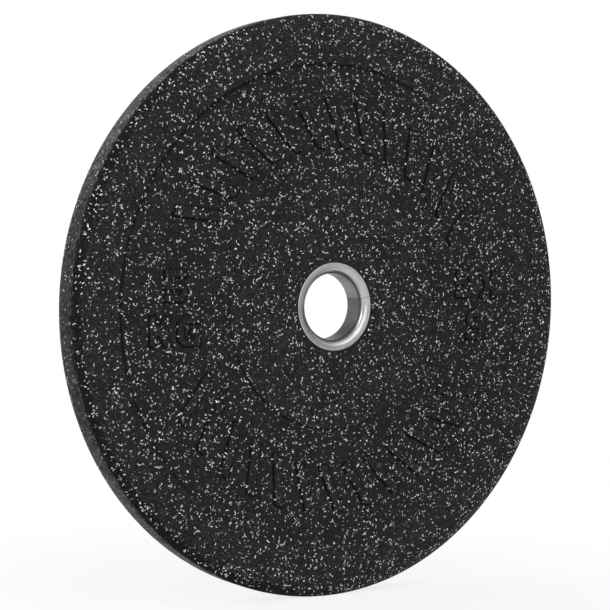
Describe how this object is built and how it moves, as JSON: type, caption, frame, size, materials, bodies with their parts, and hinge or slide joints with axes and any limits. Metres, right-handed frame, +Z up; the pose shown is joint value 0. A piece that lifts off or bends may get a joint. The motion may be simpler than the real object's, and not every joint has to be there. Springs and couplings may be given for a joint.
{
  "type": "weight plate",
  "caption": "Flat round crumb rubber weight plate with a flanged steel hub and a central bore for a bar.",
  "frame": {"origin": "centre of the bore, half way through the plate's thickness", "axes": "-Y out of the front face along the bore, +Z up with the plate standing on its rim, +X to the right seen from the front"},
  "size_m": [0.45, 0.0242, 0.4498],
  "materials": {
    "crumb_rubber": "matt black moulded crumb rubber with pale grey granules",
    "hub_steel": "satin stainless steel, turned and polished along the flared lip",
    "anchor_steel": "plain rolled steel, buried in the rubber"
  },
  "bodies": {
    "root": {"rubber_disc": "crumb_rubber", "hub_sleeve": "hub_steel", "front_lip_ring": "hub_steel", "rear_lip_ring": "hub_steel", "anchor_plate": "anchor_steel"}
  },
  "joints": []
}
